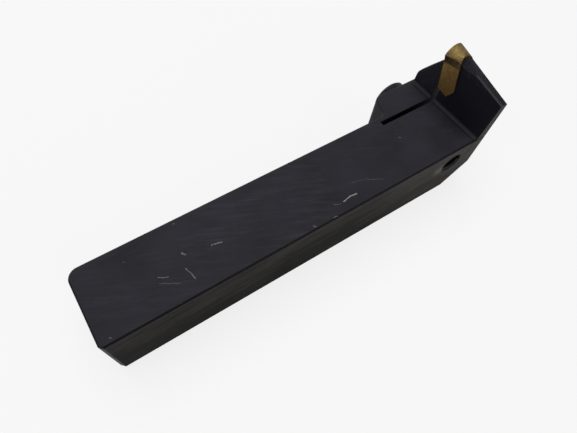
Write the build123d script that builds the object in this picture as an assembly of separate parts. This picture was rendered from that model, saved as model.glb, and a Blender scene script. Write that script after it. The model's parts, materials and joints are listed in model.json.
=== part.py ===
from build123d import *
import math
import os

# Turning tool holder: a square shank whose head is sawn into a springy clamping jaw,
# an M8 clamp screw, and a full radius insert in the end of a thin upright blade.
# Lengths (x) are measured from the rear end, heights (y) from the base of the shank and
# depths (z) from the side that it rests on. The finished pieces are set on the shank's own axis.

# Shank
shank_size = 25.0          # width of the square shank; its height is nose_height
body_length = 140.0        # rear end to the face of the head
edge_chamfer = 0.4         # broken edges all round
rear_top_radius = 3.5      # rear corner at the top of the shank
rear_base_chamfer = 1.2    # rear corner at the base

# Head block
head_length = 25.5         # length of the raised block at its foot
head_rise = 8.3            # how far the block stands above the shank
head_rear_angle = 77.0     # slope of the block's rear wall, in degrees
head_corner_radius = 3.0   # rounded top corner of the rear wall
head_foot_radius = 2.0     # hollow corner where the rear wall meets the shank
nose_bevel = 9.8           # bevel under the front end of the head

# Blade that stands up from the head
blade_foot = 4.95          # thickness at its foot, at blade_middle
blade_middle = 16.5        # height at which the foot is measured
blade_lean = 5.0           # lean of the inner wall, in degrees
blade_slant = 3.3          # turn of the inner wall in plan, in degrees
blade_reach = 16.15        # how far the blade stands out of the head at the base
blade_relief = 11.6        # slope of the blade's end face, in degrees
blade_foot_radius = 1.2    # hollow corner at the foot of the blade
blade_edge = 0.3           # broken edges of the blade's end and of the jaw's front
nose_facet = 1.9           # bevel on the blade's end beside the insert: width at its top
nose_facet_side = 2.4      # and how far it runs down the inner wall
nose_facet_drop = 8.7      # and how far down the end face

# Cutting insert
insert_width = 8.0         # cutting width, twice the nose radius
insert_overhang = 2.2      # how far the insert stands past the face of the head
insert_body_width = 6.0    # width behind the nose
nose_height = 25.0         # cutting edge above the base, level with the top of the shank
nose_reach = 21.4          # tip of the nose from the marked side of the shank
nose_start = 3.1           # the round nose ends this far behind the tip
neck_length = 3.1          # taper from the nose down to the insert's body
neck_slant = 14.5          # the rear edge of the neck runs forwards going down, in degrees
neck_pinch = 24.0          # at the heel's height the neck narrows forwards, in degrees
nose_step = 0.2            # the nose stands this far above the end of the sloping top
nose_relief = 8.0          # clearance angle of the flank, in degrees
insert_tilt = 11.5         # fall of the insert's top away from the nose, in degrees
insert_length = 16.1       # tip to the rear corner of the insert's top
rear_height = 4.65         # upright part of the rear end
rear_lean = 8.5            # the rear end leans backwards going down, in degrees
heel_length = 4.2          # sloping heel below the rear end
heel_angle = 27.4          # slope of the heel, in degrees
seat_angle = 13.7          # slope of the insert's underside, in degrees
dish_land = 0.6            # flat land round the chip dish
dish_depth = 0.35
rib_width = 2.2            # V rib under the jaw, which sits in a groove of the insert
rib_depth = 0.6
seat_rib_width = 6.0       # V rib of the seat, as wide as the insert
seat_rib_depth = 1.0

# Jaw
slit_width = 1.75          # saw slit under the jaw
slit_length = 28.9         # slit from the face of the head
slit_rise = 0.4            # its top above the rear corner of the insert
jaw_top_drop = 0.9         # the jaw's end is this much lower than the head block
jaw_shoulder = 4.6         # upright part of the jaw's end
jaw_corner_drop = 0.85     # cut corner above it
jaw_corner_length = 1.6
jaw_slope = 34.4           # fall of the jaw's front edge towards the nose, in degrees
jaw_tip = 0.85             # thickness of the jaw at its tip

# Clamp screw, M8
screw_size = 8.0
screw_head_diameter = 13.0
screw_head_height = 8.0
screw_length = 25.0        # under the head
screw_from_end = 12.1      # axis from the face of the head
screw_depth = 8.2          # axis from the side that the blade stands out of
screw_head_above = 3.4     # how far the head stands above the block
key_size = 6.0             # hexagon across flats
key_depth = 4.6
screw_head_edge = 0.6
knurl_count = 60           # grooves round the screw's head
knurl_depth = 0.22
knurl_margin = 0.5         # plain band above and below the grooves
screw_point = 1.0
running_clearance = 0.05   # between the screw and its thread, each side
jaw_hole_clearance = 0.5   # round the screw in the jaw
head_clearance = 0.5       # round the screw's head
hole_chamfer = 0.4

# Places worked out from the sizes above
past = 12.0                # cutters run this far past what they cut
head_start = body_length - head_length
head_top = nose_height + head_rise
head_run = head_rise / math.tan(math.radians(head_rear_angle))
wall_x = body_length - blade_foot
insert_x = body_length + insert_overhang - insert_width / 2
nose_radius = insert_width / 2
tip_z = shank_size + nose_reach
nose_z = tip_z - nose_radius
arc_end_z = tip_z - nose_start
arc_end_x = math.sqrt(nose_radius ** 2 - (arc_end_z - nose_z) ** 2)
neck_z = arc_end_z - neck_length
rear_z = tip_z - insert_length
screw_x = body_length - screw_from_end
screw_z = shank_size - screw_depth
screw_seat = head_top + screw_head_above - screw_head_height
screw_radius = screw_size / 2 - running_clearance


def slope(degrees):
    return math.tan(math.radians(degrees))


def insert_top(z):
    """Height of the insert's sloping top at a depth."""
    return nose_height - nose_step - (neck_z - z) * slope(insert_tilt)


rear_top = (insert_top(rear_z), rear_z)
slit_top = rear_top[0] + slit_rise
rear_low = (rear_top[0] - rear_height, rear_z - rear_height * slope(rear_lean))
heel = (
    rear_low[0] - heel_length * math.sin(math.radians(heel_angle)),
    rear_low[1] + heel_length * math.cos(math.radians(heel_angle)),
)


def insert_underside(z):
    """Height of the insert's underside at a depth."""
    return heel[0] + (z - heel[1]) * slope(seat_angle)


def end_face(y):
    """Depth of the blade's end face at a height."""
    return shank_size + blade_reach + y * slope(blade_relief)


def seat_corner():
    """Height at which the blade's end face meets the insert's underside."""
    run = end_face(0) - heel[1]
    return (heel[0] + run * slope(seat_angle)) / (1 - slope(seat_angle) * slope(blade_relief))


def inner_wall(y, z):
    """Length at which the blade's inner wall stands."""
    return wall_x + (z - shank_size) * slope(blade_lean) - (y - blade_middle) * slope(blade_slant)


def on_inner_wall(edge):
    """Whether an edge lies in the blade's inner wall."""
    middle = edge.center()
    return abs(middle.X - inner_wall(middle.Y, middle.Z)) < 0.01 and abs(edge.tangent_at(0).X) < 0.9


def side_profile(points, x_from, x_to):
    """An outline of (height, depth) points, carried along x."""
    face = make_face(Polyline([(x_from, y, z) for y, z in points], close=True))
    return extrude(face, amount=x_to - x_from, dir=(1, 0, 0))


def upright_edge(solid, x, y):
    """The edges along z that stand at a length and a height."""
    edges = solid.edges().filter_by(Axis.Z)
    return [e for e in edges if abs(e.center().X - x) < 0.01 and abs(e.center().Y - y) < 0.01]


def block():
    """Shank and head in one, before the blade is added."""
    outline = make_face(Polyline(
        (0, 0), (body_length, 0), (body_length, head_top), (head_start + head_run, head_top),
        (head_start, nose_height), (0, nose_height), close=True,
    ))
    solid = extrude(outline, amount=shank_size)
    front = [e for e in solid.edges().filter_by(Axis.Y)
             if e.center().X > body_length - 0.01 and e.center().Z < 0.01]
    solid = chamfer(front, nose_bevel)
    solid = fillet(upright_edge(solid, 0, nose_height), rear_top_radius)
    solid = fillet(upright_edge(solid, head_start + head_run, head_top), head_corner_radius)
    solid = fillet(upright_edge(solid, head_start, nose_height), head_foot_radius)
    solid = chamfer(upright_edge(solid, 0, 0), rear_base_chamfer)
    for side in (0, -1):
        face = solid.faces().sort_by(Axis.Z)[side]
        solid = chamfer(face.edges(), edge_chamfer)
    return solid


def jaw_tip_z():
    """Depth at which the jaw's front edge has come down to its tip."""
    corner_z = shank_size + jaw_shoulder + jaw_corner_length
    corner_y = head_top - jaw_top_drop - jaw_corner_drop
    rise = corner_y - insert_top(corner_z) - jaw_tip
    return corner_z + rise / (slope(jaw_slope) + slope(insert_tilt))


def blade():
    """Upright blade with the jaw's front end, before the pocket and the slit are cut."""
    jaw_y = head_top - jaw_top_drop
    root_z = shank_size - blade_foot_radius - edge_chamfer
    tip_y = insert_top(jaw_tip_z())
    outline = [
        (0, root_z), (0, end_face(0)), (seat_corner(), end_face(seat_corner())),
        (tip_y, jaw_tip_z()), (tip_y + jaw_tip, jaw_tip_z()),
        (jaw_y - jaw_corner_drop, shank_size + jaw_shoulder + jaw_corner_length),
        (jaw_y, shank_size + jaw_shoulder), (jaw_y, root_z),
    ]
    solid = side_profile(outline, wall_x - past, body_length)
    outward = Vector(-1, -slope(blade_slant), slope(blade_lean))
    wall = Plane(origin=(wall_x, blade_middle, shank_size), z_dir=outward)
    solid = solid - extrude(wall * Rectangle(4 * shank_size, 4 * shank_size), amount=2 * past)
    front = [e for e in solid.edges() if e.bounding_box().min.Z > shank_size and e.center().Y > 0.01
             and (abs(e.center().X - body_length) < 0.01 or on_inner_wall(e))]
    return chamfer(front, blade_edge)


def pocket():
    """Room for the insert, open at the front and on both sides of the blade."""
    front = tip_z + past
    outline = [rear_top, rear_low, heel, (insert_underside(front), front), (insert_top(front), front)]
    return side_profile(outline, wall_x - past, body_length + past)


def slit():
    """Saw cut that frees the jaw, from behind the screw into the rear of the pocket."""
    low = slit_top - slit_width
    front = rear_z + slit_width / 4
    outline = [(low, -past), (slit_top, -past), (slit_top, front), (low, front)]
    return side_profile(outline, body_length - slit_length, body_length + past)


def nose_bevel_cut():
    """Cuts the small bevel at the top of the blade's end, beside the insert's nose."""
    top_y = seat_corner()
    low_y = top_y - nose_facet_drop
    top_z = end_face(top_y)
    low = Vector(inner_wall(low_y, end_face(low_y)), low_y, end_face(low_y))
    across = Vector(inner_wall(top_y, top_z) + nose_facet, top_y, top_z)
    down_z = top_z - nose_facet_side
    down = Vector(inner_wall(top_y, down_z), top_y, down_z)
    outward = (across - low).cross(down - low)
    if outward.X > 0:
        outward = outward * -1
    return extrude(Plane(origin=low, z_dir=outward) * Rectangle(2 * past, 4 * past), amount=past)


def v_bar(start, degrees, length, width, height):
    """V rib along the pocket. It starts at (height, depth); a negative height points down."""
    rise = math.sin(math.radians(degrees))
    run = math.cos(math.radians(degrees))
    across = Plane(origin=(insert_x, *start), x_dir=(1, 0, 0), z_dir=(0, rise, run))
    section = Polyline((-width / 2, 0), (width / 2, 0), (0, height), close=True)
    return extrude(across * make_face(section), amount=length)


def pocket_ribs():
    """The jaw's rib above the insert and the seat's rib below it."""
    reach = (jaw_tip_z() - rear_z) / math.cos(math.radians(insert_tilt))
    above = v_bar(rear_top, insert_tilt, reach, rib_width, -rib_depth)
    below = v_bar(heel, seat_angle, insert_length + past, seat_rib_width, seat_rib_depth)
    return above, below


def post(radius, y_from, y_to):
    """A round bar along the screw's axis."""
    foot = Plane(origin=(screw_x, y_from, screw_z), x_dir=(1, 0, 0), z_dir=(0, 1, 0))
    return extrude(foot * Circle(radius), amount=y_to - y_from)


def holder_body():
    solid = block() + blade()
    foot = [e for e in solid.edges()
            if abs(e.center().Z - shank_size) < 0.01
            and abs(e.center().X - wall_x) < blade_foot / 2 and e.length > head_top / 2]
    solid = fillet(foot, blade_foot_radius)
    above, below = pocket_ribs()
    solid = solid - (pocket() - above - below) - slit() - nose_bevel_cut()
    in_slit = slit_top - slit_width / 2
    solid = solid - post(screw_size / 2, -past, in_slit)
    solid = solid - post(screw_size / 2 + jaw_hole_clearance, in_slit, head_top)
    solid = solid - post(screw_head_diameter / 2 + head_clearance, screw_seat, head_top + past)
    mouth = [e for e in solid.edges().filter_by(GeomType.CIRCLE)
             if abs(e.center().Y) < 0.01 and abs(e.radius - screw_size / 2) < 0.01]
    return chamfer(mouth, hole_chamfer)


def nose_outline():
    """Plan of the round nose, spreading behind it clear of the neck and the body."""
    back = neck_z - past
    lines = Polyline((-nose_radius, nose_z), (-insert_width, back), (insert_width, back),
                     (nose_radius, nose_z))
    nose = ThreePointArc((nose_radius, nose_z), (0, tip_z), (-nose_radius, nose_z))
    return make_face(Curve() + [lines, nose])


def neck_outline(start, widening):
    """Plan of the insert's body, and of the neck that widens or narrows from it to the front."""
    body = insert_body_width / 2
    front = tip_z + nose_step
    wide = body + widening * (front - start)
    back = neck_z - 2 * past
    return make_face(Polyline((-body, back), (body, back), (body, start), (wide, front),
                              (-wide, front), (-body, start), close=True))


def neck(rake, depth):
    """The insert's sides: its neck twists from wide at the cutting edge to narrow below."""
    top = neck_outline(neck_z, (arc_end_x - insert_body_width / 2) / neck_length)
    low = neck_outline(neck_z + depth * slope(neck_slant), -slope(neck_pinch))
    return loft([rake * top, rake * Pos(0, 0, depth) * low], ruled=True)


def chip_dish():
    """Shallow hollow behind the cutting edge."""
    radius = nose_radius - dish_land
    half = math.sqrt(radius ** 2 - (arc_end_z - nose_z) ** 2)
    rim = Curve() + [
        ThreePointArc((half, arc_end_z), (0, nose_z + radius), (-half, arc_end_z)),
        Line((-half, arc_end_z), (half, arc_end_z)),
    ]
    return make_face(rim)


def cutting_insert():
    rake = Plane(origin=(insert_x, nose_height, 0), x_dir=(1, 0, 0), z_dir=(0, -1, 0))
    front = tip_z + nose_step
    side = [rear_top, (nose_height - nose_step, neck_z), (nose_height, arc_end_z),
            (nose_height, front), (insert_underside(front), front), heel, rear_low]
    whole = side_profile(side, insert_x - insert_width, insert_x + insert_width)
    depth = nose_height - heel[0]
    nose = extrude(rake * nose_outline(), amount=depth, taper=nose_relief)
    solid = whole & nose & neck(rake, depth)
    solid = solid - extrude(rake * chip_dish(), amount=dish_depth, taper=45)
    above, below = pocket_ribs()
    return solid - above - below


def clamp_screw():
    top = screw_seat + screw_head_height
    tip = screw_seat - screw_length
    head = screw_head_diameter / 2
    outline = make_face(Polyline(
        (0, top), (head - screw_head_edge, top), (head, top - screw_head_edge), (head, screw_seat),
        (screw_radius, screw_seat), (screw_radius, tip + screw_point),
        (screw_radius - screw_point, tip), (0, tip), close=True,
    ))
    solid = Pos(screw_x, 0, screw_z) * revolve(outline, Axis.Y)
    mouth = Plane(origin=(screw_x, top, screw_z), x_dir=(1, 0, 0), z_dir=(0, -1, 0))
    corner = key_size / math.sqrt(3)
    socket = extrude(mouth * RegularPolygon(corner, 6), amount=key_depth)
    return solid - socket - knurl_grooves(top)


def knurl_grooves(top):
    """V grooves round the screw's head, from a band under its top edge."""
    start = top - screw_head_edge - knurl_margin
    rim = Plane(origin=(screw_x, start, screw_z), x_dir=(1, 0, 0), z_dir=(0, -1, 0))
    groove = RegularPolygon(knurl_depth, 4)
    places = PolarLocations(screw_head_diameter / 2, knurl_count)
    sections = [rim * place * groove for place in places]
    return extrude(Sketch() + sections, amount=start - screw_seat - knurl_margin)


def main():
    os.makedirs("parts", exist_ok=True)
    shank_axis = Pos(0, -nose_height / 2, -shank_size / 2)
    nodes = {
        "holder_body": holder_body(),
        "clamp_screw": clamp_screw(),
        "cutting_insert": cutting_insert(),
    }
    for name, solid in nodes.items():
        export_step(shank_axis * solid, f"parts/{name}.step")


main()
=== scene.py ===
import bpy
import json
import math
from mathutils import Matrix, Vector


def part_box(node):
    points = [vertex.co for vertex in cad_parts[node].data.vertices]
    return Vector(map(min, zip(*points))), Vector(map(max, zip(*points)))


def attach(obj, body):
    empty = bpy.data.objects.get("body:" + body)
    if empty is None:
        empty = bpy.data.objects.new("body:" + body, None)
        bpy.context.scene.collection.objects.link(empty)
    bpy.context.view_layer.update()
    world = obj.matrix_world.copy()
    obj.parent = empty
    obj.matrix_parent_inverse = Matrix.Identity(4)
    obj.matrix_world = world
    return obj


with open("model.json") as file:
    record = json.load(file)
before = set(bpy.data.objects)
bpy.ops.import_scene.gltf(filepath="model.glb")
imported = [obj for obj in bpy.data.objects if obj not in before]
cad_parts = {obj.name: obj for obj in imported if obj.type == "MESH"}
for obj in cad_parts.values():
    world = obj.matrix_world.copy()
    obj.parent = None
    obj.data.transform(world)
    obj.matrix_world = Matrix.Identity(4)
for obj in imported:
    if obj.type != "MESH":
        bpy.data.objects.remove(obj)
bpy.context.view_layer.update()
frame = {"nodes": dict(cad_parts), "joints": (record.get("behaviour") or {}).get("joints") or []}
print("tool holder loaded:", sorted(frame["nodes"]))

mm = 0.001
perMetre = 1000.0  # Object coordinates come in metres, and patterns are written in millimetres
noiseSpan = (0.25, 0.75)   # noise between these levels covers a finish's range of roughness
screwJoint = frame["joints"][0]
screwAxis = Vector(screwJoint["pos_m"])
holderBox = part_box("holder_body")
baseY = holderBox[0].y     # the ground base of the shank
restZ = holderBox[0].z     # the side the tool lies on
markedZ = -restZ           # the opposite side, where the blade stands out


def hexToLinear(code):
    channels = [int(code[i:i + 2], 16) / 255 for i in (1, 3, 5)]
    return (*[c / 12.92 if c <= 0.04045 else ((c + 0.055) / 1.055) ** 2.4 for c in channels], 1.0)


def addNode(tree, kind, *inputs, named=None, **settings):
    # inputs fill the node's active sockets in order, and named fills sockets by their name;
    # a node given as an input is linked from its own first active output
    node = tree.nodes.new("ShaderNode" + kind)
    for name, value in settings.items():
        setattr(node, name, value)
    sockets = [socket for socket in node.inputs if socket.enabled]
    filled = list(zip(sockets, inputs))
    filled += [(node.inputs[name], value) for name, value in (named or {}).items()]
    for socket, value in filled:
        if isinstance(value, bpy.types.Node):
            value = next(output for output in value.outputs if output.enabled)
        if isinstance(value, bpy.types.NodeSocket):
            tree.links.new(value, socket)
        else:
            socket.default_value = value
    return node


def newMaterial(name):
    material = bpy.data.materials.new(name)
    material.use_nodes = True
    material.node_tree.nodes.clear()
    return material, material.node_tree


def pointInMm(tree, stretch=(1, 1, 1)):
    # a stretch below 1 draws the pattern out along that axis
    coords = addNode(tree, "TexCoord").outputs["Object"]
    scale = [perMetre * s for s in stretch]
    return addNode(tree, "Mapping", named={"Vector": coords, "Scale": scale})


def turned(tree, point, degrees, stretch):
    # the same point turned about Z and stretched, for streaks that run at an angle
    turn = (0, 0, math.radians(degrees))
    point = addNode(tree, "VectorRotate", named={"Vector": point, "Rotation": turn},
                    rotation_type="EULER_XYZ")
    return addNode(tree, "VectorMath", point, stretch, operation="MULTIPLY")


def mottle(tree, point, pattern):
    # a pattern is the width of its patches in millimetres, its detail and roughness, the two noise
    # levels that it starts and is full at, and its strength there, which is 0 and 1 if not given
    width, detail, roughness, *levels = pattern
    noise = addNode(tree, "TexNoise", point, 1 / width, detail, roughness)
    return addNode(tree, "MapRange", noise, *levels)


def edgeWear(tree, point, radius, pattern):
    # rubbed edges: where a rounded normal would differ from the true one, broken up by patches
    rounded = addNode(tree, "Bevel", radius * mm, samples=8)
    true = addNode(tree, "NewGeometry").outputs["Normal"]
    same = addNode(tree, "VectorMath", rounded, true, operation="DOT_PRODUCT")
    edge = addNode(tree, "MapRange", same, 1.0, 0.9)  # full where they are 26 degrees apart
    return mottle(tree, point, pattern + (0, edge))


def within(tree, value, low, high, soft, strength=1.0):
    # strength between low and high, falling to 0 over soft on both sides
    rise = addNode(tree, "MapRange", value, low - soft, low, 0, strength)
    return addNode(tree, "MapRange", value, high + soft, high, 0, rise)


def layered(tree, look, color, layers):
    # lay the tints over the color one by one, each as far as its mask says
    for mask, tint in layers:
        color = addNode(tree, "Mix", mask, color, hexToLinear(look[tint]), data_type="RGBA")
    return color


def addSurface(tree, look, color, rough, height, metallic=0.0):
    # the shader, with the finest relief of the surface as bump
    depth, strength = look["relief"]
    bump = addNode(tree, "Bump", named={
        "Height": height, "Distance": depth * mm, "Strength": strength})
    shader = addNode(tree, "BsdfPrincipled", named={
        "Base Color": color, "Metallic": metallic, "Roughness": rough, "Normal": bump,
        "Specular IOR Level": look["specular"]})
    addNode(tree, "OutputMaterial", shader)


# Black oxide on ground tool steel: a thin blue-black conversion coat. It keeps the fine lines of
# the grinding and clouds slightly. The base, which slides in tool posts, is rubbed to a neutral
# grey, with painted shade towards the rest side. The broken edges carry dark lines, and scratches
# reach bare steel. Painted shade darkens the blade's wall, the hollow corner at its foot and the
# saw slit; painted light brightens the slit deeper in the blade and the edge of the blade's end.
# Lengths are in millimetres. Out is measured from the marked face towards the blade's end.
blackOxide = {
    "coat": "#1d1c22",
    "coatCloud": "#2c2b32",
    "hazeAndPaintedLight": "#3b3a42",        # pale streaks left by wiping and handling; also painted light in the slit and on the blade's end
    "brownTint": "#332b2a",
    "paintedShade": "#111016",   # painted shade on the blade's wall, which faces away from the light, and in the slit near it
    "rubbedBase": "#1e1d1c",
    "rubbedBright": "#4d4b49",
    "burnishedSteel": "#77736a",
    # dark lines on the broken edges, and painted shade in the slit's mouth and the foot's corner
    "darkEdgeAndShade": "#08080c",
    "bareSteel": "#9a9893",
    "specular": 0.07,
    "roughness": (0.46, 0.64),
    "cloudShare": 0.4,        # of the roughness, and the grinding lines make the rest
    "baseRougher": 0.3,
    "cloud": (14.0, 4, 0.6, 0.28, 0.72),
    "brown": (5.0, 5, 0.7, 0.56, 0.74, 0, 0.45),
    "brownStretch": (0.4, 1, 1),
    "streaks": (1.6, 5, 0.65, 0.48, 0.85, 0, 0.8),
    "streakAngle": 24,
    "streakStretch": (0.12, 1, 1),
    "wiped": (22.0, 3, 0.55, 0.38, 0.62),       # where the streaks show
    "specks": (0.4, 2, 0.5, 0.56, 0.76, 0, 0.13),
    "specksFrom": (15.5, 16.5),                 # out, on the blade's end
    "grindLines": (0.35, 2, 0.5),               # real lines are about 0.1 mm: drawn wide to show
    "lineStretch": (0.015, 1, 1),
    "pits": (0.9, 4, 0.65),
    "pitShare": 0.6,
    "scratchDepth": 2.0,      # in heights of the grinding lines
    "relief": (0.004, 0.8),   # depth and strength
    "edgeRadius": 0.3,
    "edgePatches": (2.6, 4, 0.7, 0.56, 0.8),
    "edgeShare": (15.0, 16.0, 0.2, 0.6),        # out: the blade's end is rubbed more
    "brokenEdge": 0.4,        # chamfers of the shank
    "darkSpread": 0.12,        # the dark line runs this far past them
    "darkSoft": 0.04,
    "slitFrom": 111.0,        # the saw slit, along the shank
    "slitHeights": (8.9, 10.75),
    "slitEnd": 5.3,           # out, where the slit meets the insert
    "slitShade": (1.2, 1.0),  # painted shade: inside the blade the slit is dark this far in from the wall, painted light beyond
    "footWall": 135.28,       # where the blade's wall stands at the shank's mid height
    "footSlant": 0.0577,      # and how far it leans for each millimetre of height
    "wallLean": 0.0875,       # the wall runs forwards for each millimetre out
    "footRadius": 1.2,        # the hollow corner between the marked face and the wall
    # painted shade along the hollow corner at the blade's foot
    "footShade": 0.6,
    "footShadeSoft": 0.25,
    "footShadeOnFace": (-0.05, 0.2),                # before the wall, past the foot's radius
    "footShadeOnWall": (-0.15, 0.05),               # out, past the foot's radius
    "footShadeReach": (0.3, 0.1),
    "wallDepth": (-1.5, 1.0, 0.2),              # before the wall, and how soft
    "endFace": 31.22,         # the blade's end at the shank's mid height, along z
    "endSlope": 0.2053,       # and how far it runs out for each millimetre of height
    "endEdge": 0.4,           # width of the painted highlight along its broken edge
    "bladeSoft": 0.05,
    "wallFrom": (0.3, 1.8),   # the painted shade on the wall starts here, out
    "wallUntil": (21.5, 17.5),
    "wallHeights": (4.0, 12.0, 0.85, 0.3),      # and gets weaker upwards
    "baseSkin": (0.06, 0.02),                   # what counts as the base face, above it
    "baseSideShade": (-0.25, 0.4),                 # painted shade: the rubbed tint is weakest at the rest side, by the table, strongest at the marked
    "rubbedHead": (85.0, 136.0, 0, 0.65),       # and more along the shank towards the head
    "rubbedPatches": (2.2, 5, 0.65, 0.3, 0.75, -0.2, 0.35),
    "rubbedStretch": (0.12, 1, 1),
    "burnish": (-5.4, 0, -0.4),                 # a bright spot, from the tapped hole's centre
    "burnishSize": (3.6, 1.4, 0, 0.9),
    "burnishPatches": (1.6, 4, 0.6, 0.3, 0.6),
    "scratchCore": 0.35,      # the share of a scratch's width that is fully bare
    "scratchNoise": (0.9, 2), # scale and detail of the noise that bends the lines
    "scratchDrift": (0.9, 0.9, 0),              # how far it moves them in x, y and z
    "scratchBreaks": (0.5, 3, 0.7, 0.35, 0.6, 0.25, 1),
}

# Scratches on the marked face, as (x, y) in millimetres along each line, its width and strength
wearMarks = [
    {"line": [(80.9, -8.9), (84.0, -8.1), (86.4, -8.5)], "width": 0.25, "strength": 0.85},
    {"line": [(77.8, -8.1), (79.9, -9.0)], "width": 0.14, "strength": 0.25},
    {"line": [(87.3, -4.4), (91.5, -5.4), (97.5, -8.6)], "width": 0.14, "strength": 0.18},
    {"line": [(38.6, -0.9), (41.9, -1.5)], "width": 0.20, "strength": 0.5},
    {"line": [(30.2, 1.3), (30.9, 0.4)], "width": 0.3, "strength": 0.45},
    {"line": [(29.1, -3.6), (30.1, -7.6)], "width": 0.20, "strength": 0.45},
    {"line": [(21.3, -2.0), (23.7, -3.4)], "width": 0.16, "strength": 0.4},
    {"line": [(20.9, -3.9), (26.0, -6.8)], "width": 0.12, "strength": 0.25},
    {"line": [(15.0, 7.1), (15.3, 6.9)], "width": 0.15, "strength": 0.3},
    {"line": [(32.4, 11.0), (32.7, 10.8)], "width": 0.15, "strength": 0.3},
    {"line": [(3.7, -10.7), (3.9, -10.8)], "width": 0.18, "strength": 0.4},
    {"line": [(112.7, 2.0), (112.9, 1.8)], "width": 0.22, "strength": 0.7},
    {"line": [(68.1, -11.1), (68.6, -11.6)], "width": 0.20, "strength": 0.4},
    {"line": [(75.0, -11.9), (76.2, -12.1)], "width": 0.18, "strength": 0.4},
]


def scratchMask(tree, point, start, end, mark, core):
    # full on a straight line of the marked face from start to end, fading out at its width
    a = Vector((*start, markedZ * perMetre))
    along = Vector((*end, markedZ * perMetre)) - a
    offset = addNode(tree, "VectorMath", point, a, operation="SUBTRACT")
    part = addNode(tree, "VectorMath", offset, along / along.length_squared,
                   operation="DOT_PRODUCT")
    part = addNode(tree, "Clamp", part)
    foot = addNode(tree, "VectorMath", along, part, operation="SCALE")
    gap = addNode(tree, "VectorMath", offset, foot, operation="DISTANCE")
    width = mark["width"]
    return addNode(tree, "MapRange", gap, width, width * core, 0, mark["strength"])


def scratches(tree, point, look):
    # all the wear marks, slightly bent and broken up
    drift = addNode(tree, "TexNoise", point, *look["scratchNoise"]).outputs["Color"]
    drift = addNode(tree, "VectorMath", drift, (0.5, 0.5, 0.5), operation="SUBTRACT")
    drift = addNode(tree, "VectorMath", drift, look["scratchDrift"], operation="MULTIPLY")
    wandering = addNode(tree, "VectorMath", point, drift, operation="ADD")
    total = 0.0
    for mark in wearMarks:
        for start, end in zip(mark["line"], mark["line"][1:]):
            mask = scratchMask(tree, wandering, start, end, mark, look["scratchCore"])
            total = addNode(tree, "Math", total, mask, operation="MAXIMUM")
    breaks = mottle(tree, point, look["scratchBreaks"])
    return addNode(tree, "Math", total, breaks, operation="MULTIPLY", use_clamp=True)


def darkEdgesAndSlitShade(tree, x, y, out, look):
    # dark lines along the broken edges of the marked face, and painted shade in the mouth of the
    # saw slit
    edge, soft, base = look["brokenEdge"] + look["darkSpread"], look["darkSoft"], baseY * perMetre
    nearMarked = within(tree, out, -edge, soft, soft)
    low = within(tree, y, base - soft, base + edge, soft, nearMarked)
    rear = within(tree, x, -soft, edge, soft, nearMarked)
    slit = addNode(tree, "MapRange", out, 0, -soft)
    slit = within(tree, y, *look["slitHeights"], soft, slit)
    slit = addNode(tree, "MapRange", x, look["slitFrom"] - soft, look["slitFrom"], 0, slit)
    edges = addNode(tree, "Math", low, rear, operation="MAXIMUM")
    return addNode(tree, "Math", edges, slit, operation="MAXIMUM")


def wallDistance(tree, point, look, lean):
    # how far a point stands before the blade's wall; it is below 0 inside the blade
    slope = (-1, -look["footSlant"], lean)
    away = addNode(tree, "VectorMath", point, slope, operation="DOT_PRODUCT")
    start = look["footWall"] - markedZ * perMetre * lean
    return addNode(tree, "Math", away, start, operation="ADD")


def bladeShade(tree, point, y, out, look):
    # painted shade and painted light in the slit inside the blade, and a painted highlight along
    # its end
    soft, edge = look["bladeSoft"], look["endEdge"]
    toWall = wallDistance(tree, point, look, look["wallLean"])
    slit = within(tree, out, 3 * soft, look["slitEnd"], soft)
    slit = within(tree, y, *look["slitHeights"], soft, slit)
    deep, shallow = look["slitShade"]
    shade = addNode(tree, "MapRange", toWall, -deep, -shallow, 0, slit)
    along = addNode(tree, "VectorMath", point, (0, -look["endSlope"], 1), operation="DOT_PRODUCT")
    end = look["endFace"] - edge
    light = addNode(tree, "MapRange", along, end, end + soft)
    light = addNode(tree, "MapRange", toWall, -edge - soft, -edge, 0, light)
    return shade, slit, light


def footShadeLines(tree, point, out, look):
    # painted shade: dark lines along both sides of the hollow corner at the blade's foot
    toWall = wallDistance(tree, point, look, 0.0)
    radius, soft = look["footRadius"], look["footShadeSoft"]
    start, stop = look["footShadeOnFace"]
    flat = addNode(tree, "MapRange", out, *look["footShadeReach"], 0, look["footShade"])
    flat = within(tree, toWall, radius + start, radius + stop, soft, flat)
    start, stop = look["footShadeOnWall"]
    wall = within(tree, out, radius + start, radius + stop, soft, look["footShade"])
    wall = within(tree, toWall, *look["wallDepth"], wall)
    return addNode(tree, "Math", flat, wall, operation="MAXIMUM")


def rubbedBase(tree, point, x, y, z, look):
    # how far the base face is rubbed: more towards the head and by the hole, less towards the rest
    # side as painted shade
    skin, full = [baseY * perMetre + height for height in look["baseSkin"]]
    onBase = addNode(tree, "MapRange", y, skin, full)
    side = addNode(tree, "MapRange", z, restZ * perMetre, markedZ * perMetre, *look["baseSideShade"])
    head = addNode(tree, "MapRange", x, *look["rubbedHead"])
    patches = mottle(tree, pointInMm(tree, look["rubbedStretch"]), look["rubbedPatches"])
    amount = addNode(tree, "Math", side, head, operation="ADD")
    amount = addNode(tree, "Math", amount, patches, operation="ADD")
    rubbed = addNode(tree, "Math", onBase, amount, operation="MULTIPLY", use_clamp=True)
    spot = Vector((screwAxis.x, baseY, screwAxis.z)) * perMetre + Vector(look["burnish"])
    gap = addNode(tree, "VectorMath", point, spot, operation="DISTANCE")
    burnished = addNode(tree, "MapRange", gap, *look["burnishSize"])
    burnished = mottle(tree, point, look["burnishPatches"] + (0, burnished))
    burnished = addNode(tree, "Math", onBase, burnished, operation="MULTIPLY")
    return onBase, rubbed, burnished


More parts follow.
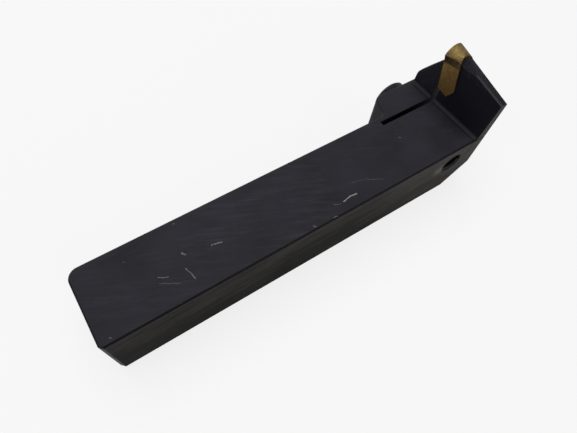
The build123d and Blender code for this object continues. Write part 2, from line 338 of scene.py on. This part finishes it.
def makeBlackOxide():
    look = blackOxide
    material, tree = newMaterial("blackOxideGroundSteel")
    point = pointInMm(tree)
    x, y, z = addNode(tree, "SeparateXYZ", point).outputs
    out = addNode(tree, "Math", z, markedZ * perMetre, operation="SUBTRACT")
    cloud = mottle(tree, point, look["cloud"])
    brown = mottle(tree, pointInMm(tree, look["brownStretch"]), look["brown"])
    streaked = turned(tree, point, look["streakAngle"], look["streakStretch"])
    hazeAndPaintedLight = mottle(tree, streaked, look["streaks"])
    hazeAndPaintedLight = mottle(tree, point, look["wiped"] + (0, hazeAndPaintedLight))
    # painted shade on the blade's wall, weaker upwards and fading out along the blade
    wallShade = addNode(tree, "MapRange", y, *look["wallHeights"])
    wallShade = addNode(tree, "MapRange", out, *look["wallUntil"], 0, wallShade)
    wallShade = addNode(tree, "MapRange", out, *look["wallFrom"], 0, wallShade)
    specks = mottle(tree, point, look["specks"])
    specks = addNode(tree, "MapRange", out, *look["specksFrom"], 0, specks)
    # masks of painted shade and painted light in the slit, and of a painted highlight on the
    # blade's end
    slitShade, slitPaintedLight, endHighlight = bladeShade(tree, point, y, out, look)
    onBase, rubbed, burnished = rubbedBase(tree, point, x, y, z, look)
    # dark edge lines, with painted shade in the slit's mouth and in the foot's hollow corner
    edgesAndSlit, footShade = darkEdgesAndSlitShade(tree, x, y, out, look), footShadeLines(tree, point, out, look)
    dark = addNode(tree, "Math", edgesAndSlit, footShade, operation="MAXIMUM")
    wear = edgeWear(tree, point, look["edgeRadius"], look["edgePatches"])
    share = addNode(tree, "MapRange", out, *look["edgeShare"])
    wear = addNode(tree, "Math", wear, share, operation="MULTIPLY")
    marks = scratches(tree, point, look)
    bare = addNode(tree, "Math", wear, marks, operation="MAXIMUM")
    color = layered(tree, look, hexToLinear(look["coat"]), [
        (cloud, "coatCloud"), (brown, "brownTint"), (hazeAndPaintedLight, "hazeAndPaintedLight"), (wallShade, "paintedShade"),
        (specks, "bareSteel"), (slitPaintedLight, "hazeAndPaintedLight"), (slitShade, "paintedShade"), (endHighlight, "hazeAndPaintedLight"),
        (onBase, "rubbedBase"), (rubbed, "rubbedBright"), (burnished, "burnishedSteel"),
        (dark, "darkEdgeAndShade"), (bare, "bareSteel"),
    ])
    width, *rest = look["grindLines"]
    lines = addNode(tree, "TexNoise", pointInMm(tree, look["lineStretch"]), 1 / width, *rest)
    width, *rest = look["pits"]
    pits = addNode(tree, "TexNoise", point, 1 / width, *rest)
    rough = addNode(tree, "Mix", look["cloudShare"], lines, cloud)
    rough = addNode(tree, "MapRange", rough, *noiseSpan, *look["roughness"])
    rough = addNode(tree, "Math", onBase, look["baseRougher"], rough, operation="MULTIPLY_ADD")
    height = addNode(tree, "Math", pits, look["pitShare"], lines, operation="MULTIPLY_ADD")
    height = addNode(tree, "Math", marks, -look["scratchDepth"], height, operation="MULTIPLY_ADD")
    addSurface(tree, look, color, rough, height, metallic=bare)
    return material


# Black oxide on a forged and rolled socket cap screw: darker, smoother and slightly oily, with the
# tops of the knurl rubbed lighter.
screwFinish = {
    "coat": "#15151a",
    "coatCloud": "#1f1f25",
    "rubbed": "#3c3b38",
    "rubbedShare": 0.6,
    "specular": 0.12,
    "roughness": (0.34, 0.5),
    "cloudShare": 0.5,
    "cloud": (3.5, 4, 0.6, 0.35, 0.65),
    "edgeRadius": 0.15,
    "edgePatches": (1.2, 4, 0.7, 0.4, 0.7),
    "grain": (0.25, 4, 0.6),
    "relief": (0.006, 0.7),
}


def makeScrewOxide():
    look = screwFinish
    material, tree = newMaterial("oiledBlackOxideScrew")
    point = pointInMm(tree)
    cloud = mottle(tree, point, look["cloud"])
    wear = edgeWear(tree, point, look["edgeRadius"], look["edgePatches"])
    wear = addNode(tree, "Math", wear, look["rubbedShare"], operation="MULTIPLY")
    color = layered(tree, look, hexToLinear(look["coat"]), [(cloud, "coatCloud"), (wear, "rubbed")])
    width, *rest = look["grain"]
    grain = addNode(tree, "TexNoise", point, 1 / width, *rest)
    rough = addNode(tree, "Mix", look["cloudShare"], grain, cloud)
    rough = addNode(tree, "MapRange", rough, *noiseSpan, *look["roughness"])
    addSurface(tree, look, color, rough, grain)
    return material


# Titanium nitride on pressed and ground carbide: a satin gold metal, browner in patches. The ground
# neck faces away from the light and carries painted shade with darker blots, and the edges are
# rubbed lighter.
insertCoating = {
    "bodyGold": "#846b40",
    "bodyBrown": "#6f552d",
    # brown of the faint stain on the body, and the painted shade of the neck
    "brownAndNeckShade": "#54452d",
    "neckShadeBlots": "#382d1e",
    "noseGold": "#6f5e3b",
    "noseBrown": "#4f4028",
    "rubbedEdge": "#94805a",
    "carbide": "#4d463c",
    "forward": (0, 0.25, 1),      # the insert's length is measured along this, in millimetres
    "neckStart": (30.73, 30.93),  # body to neck
    "neckEnd": (33.78, 34.08),    # neck to nose
    "specular": 0.5,
    "roughness": (0.5, 0.66),
    "patchShare": 0.5,
    "patch": (3.0, 4, 0.6, 0.35, 0.68),
    "stain": (1.1, 4, 0.7, 0.4, 0.64, 0, 0.85),
    "bodyStain": 0.5,             # share of the stain that reaches the body
    "blots": (0.8, 4, 0.65, 0.4, 0.62),
    "chips": (0.7, 5, 0.75, 0.64, 0.72, 0, 0.6),
    "edgeRadius": 0.2,
    "edgePatches": (1.0, 4, 0.7, 0.4, 0.7),
    "rubbedShare": 0.5,
    "grain": (0.22, 4, 0.6),      # pressed grain, drawn coarse enough to show
    "relief": (0.006, 0.6),
}


def makeInsertGold():
    look = insertCoating
    material, tree = newMaterial("titaniumNitrideCoatedCarbide")
    point = pointInMm(tree)
    patch = mottle(tree, point, look["patch"])
    stain = mottle(tree, point, look["stain"])
    faint = addNode(tree, "Math", stain, look["bodyStain"], operation="MULTIPLY")
    blots = mottle(tree, point, look["blots"])
    body = layered(tree, look, hexToLinear(look["bodyGold"]), [
        (patch, "bodyBrown"), (faint, "brownAndNeckShade")])
    # painted shade on the neck, which faces down and away from the light, darker in blots
    shadedNeck = layered(tree, look, hexToLinear(look["brownAndNeckShade"]), [(blots, "neckShadeBlots")])
    nose = layered(tree, look, hexToLinear(look["noseGold"]), [(stain, "noseBrown")])
    forward = addNode(tree, "VectorMath", point, look["forward"], operation="DOT_PRODUCT")
    color = body
    for limits, part in ((look["neckStart"], shadedNeck), (look["neckEnd"], nose)):
        past = addNode(tree, "MapRange", forward, *limits)
        color = addNode(tree, "Mix", past, color, part, data_type="RGBA")
    wear = edgeWear(tree, point, look["edgeRadius"], look["edgePatches"])
    wear = addNode(tree, "Math", wear, look["rubbedShare"], operation="MULTIPLY")
    chips = mottle(tree, point, look["chips"])
    color = layered(tree, look, color, [(wear, "rubbedEdge"), (chips, "carbide")])
    width, *rest = look["grain"]
    grain = addNode(tree, "TexNoise", point, 1 / width, *rest)
    rough = addNode(tree, "Mix", look["patchShare"], grain, patch)
    rough = addNode(tree, "MapRange", rough, *noiseSpan, *look["roughness"])
    addSurface(tree, look, color, rough, grain, metallic=1.0)
    return material


holderSteel = makeBlackOxide()
screwSteel = makeScrewOxide()
insertGold = makeInsertGold()
finishes = {"holder_body": holderSteel, "clamp_screw": screwSteel, "cutting_insert": insertGold}
for nodeName, finish in finishes.items():
    for slot in frame["nodes"][nodeName].material_slots:
        slot.material = finish
print("finishes: black oxide holder and screw, gold coated insert")


# The open end of the tapped hole shows a few turns of its M8 thread
tappedThread = {
    "pitch": 1.25,
    "wallRadius": 4.03,       # just inside the wall of the hole
    "crestRadius": 3.35,
    "crestWidth": 0.16,
    "rootWidth": 1.1,
    "start": 0.62,            # above the base face
    "end": 3.9,
    "stepsPerTurn": 48,
    "mergeWithin": 0.002,
    "smoothAngle": 40,
}


def makeTappedThread():
    size = tappedThread
    turns = math.ceil((size["end"] - size["start"]) / size["pitch"])
    bpy.ops.object.select_all(action="DESELECT")
    bpy.ops.mesh.primitive_circle_add(vertices=4, radius=mm, fill_type="NOTHING")
    thread = bpy.context.object
    thread.name = "tapped_thread"
    halfRoot, halfCrest = size["rootWidth"] / 2, size["crestWidth"] / 2
    profile = [
        (size["wallRadius"], -halfRoot), (size["crestRadius"], -halfCrest),
        (size["crestRadius"], halfCrest), (size["wallRadius"], halfRoot),
    ]
    for vertex, (radius, height) in zip(thread.data.vertices, profile):
        vertex.co = (radius * mm, height * mm, 0)
    screw = thread.modifiers.new("helix", "SCREW")
    screw.axis = "Y"
    screw.angle = math.tau
    screw.screw_offset = size["pitch"] * mm
    screw.iterations = turns
    screw.steps = screw.render_steps = size["stepsPerTurn"]
    screw.use_merge_vertices = True
    bpy.ops.object.modifier_apply(modifier=screw.name)
    thread.location = (screwAxis.x, baseY + size["start"] * mm, screwAxis.z)
    bpy.ops.object.transform_apply(location=True, rotation=True, scale=True)
    # cut the last turn off flat and close it there
    bpy.ops.object.mode_set(mode="EDIT")
    bpy.ops.mesh.select_all(action="SELECT")
    bpy.ops.mesh.bisect(plane_co=(0, baseY + size["end"] * mm, 0), plane_no=(0, 1, 0),
                        use_fill=True, clear_outer=True)
    bpy.ops.mesh.select_all(action="SELECT")
    bpy.ops.mesh.remove_doubles(threshold=size["mergeWithin"] * mm)
    bpy.ops.mesh.normals_make_consistent(inside=False)
    bpy.ops.object.mode_set(mode="OBJECT")
    bpy.ops.object.shade_smooth_by_angle(angle=math.radians(size["smoothAngle"]))
    thread.data.materials.append(holderSteel)
    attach(thread, "holder")
    return thread


makeTappedThread()
print("thread cut in the hole's open end")


# White table and surround. The camera and reflections see it as white, and it keeps the shadow.
studio = {
    "tableSize": 3.0,
    "tableMiddle": (0.07, 0),
    "tableGap": 0.05,         # millimetres under the tool
    "tableColor": "#e6e6e6",
    "tableGlow": 0.8,         # share of the table that is plain white for the camera
    "worldColor": "#ffffff",
    "worldLight": 0.15,
    "worldSeen": 1.0,
}


def whiteForCamera(tree):
    path = addNode(tree, "LightPath").outputs
    seen = addNode(tree, "Math", path["Is Camera Ray"], path["Is Glossy Ray"], operation="MAXIMUM")
    return addNode(tree, "Math", seen, path["Is Transmission Ray"], operation="MAXIMUM")


def makeTable():
    bpy.ops.object.select_all(action="DESELECT")
    place = (*studio["tableMiddle"], restZ - studio["tableGap"] * mm)
    bpy.ops.mesh.primitive_plane_add(size=studio["tableSize"], location=place)
    table = bpy.context.object
    table.name = "table"
    bpy.ops.object.transform_apply(location=True, rotation=True, scale=True)
    material, tree = newMaterial("whiteTable")
    paper = addNode(tree, "BsdfDiffuse", hexToLinear(studio["tableColor"]))
    glow = addNode(tree, "Emission", (1, 1, 1, 1), 1.0)
    share = addNode(tree, "Math", whiteForCamera(tree), studio["tableGlow"], operation="MULTIPLY")
    surface = addNode(tree, "MixShader", share, paper, glow)
    addNode(tree, "OutputMaterial", surface)
    table.data.materials.append(material)


def makeWorld():
    world = bpy.data.worlds.new("softWhiteRoom")
    bpy.context.scene.world = world
    world.use_nodes = True
    tree = world.node_tree
    tree.nodes.clear()
    light = addNode(tree, "Background", hexToLinear(studio["worldColor"]), studio["worldLight"])
    seen = addNode(tree, "Background", (1, 1, 1, 1), studio["worldSeen"])
    surface = addNode(tree, "MixShader", whiteForCamera(tree), light, seen)
    addNode(tree, "OutputWorld", surface)


# Soft boxes round the tool, each aimed at its middle
lampAim = (0.08, 0, 0)
lamps = {
    "overheadBox": {"place": (0.10, 0.25, 0.75), "size": 0.7, "watts": 4.2},
    "frontBox": {"place": (0.30, -0.60, 0.35), "size": 0.5, "watts": 1.3},
    "rearBox": {"place": (-0.55, 0.10, 0.45), "size": 0.5, "watts": 1.1},
}


def makeLamps():
    for name, lamp in lamps.items():
        place = Vector(lamp["place"])
        bpy.ops.object.select_all(action="DESELECT")
        turn = (Vector(lampAim) - place).to_track_quat("-Z", "Y").to_euler()
        bpy.ops.object.light_add(type="AREA", location=place, rotation=turn)
        light = bpy.context.object
        light.name = name
        light.data.shape = "SQUARE"
        light.data.size = lamp["size"]
        light.data.energy = lamp["watts"]


# The photograph was taken from low over the base side, looking down along the blade
viewpoint = {
    "place": (0.01997, -0.05580, 0.13640),
    "turn": (28.209, -3.950, -32.757),   # degrees about X, Y and Z
    "lens": 28.824,
    "sensor": 36.0,
    "nearest": 0.002,
    "farthest": 20,
}


def makeCamera():
    turn = [math.radians(angle) for angle in viewpoint["turn"]]
    bpy.ops.object.select_all(action="DESELECT")
    bpy.ops.object.camera_add(location=viewpoint["place"], rotation=turn)
    camera = bpy.context.object
    camera.data.lens = viewpoint["lens"]
    camera.data.sensor_width = viewpoint["sensor"]
    camera.data.sensor_fit = "HORIZONTAL"
    camera.data.clip_start = viewpoint["nearest"]
    camera.data.clip_end = viewpoint["farthest"]
    bpy.context.scene.camera = camera


makeTable()
makeWorld()
makeLamps()
makeCamera()
bpy.context.scene.view_settings.view_transform = "Standard"
print("studio: white table, soft boxes and camera")
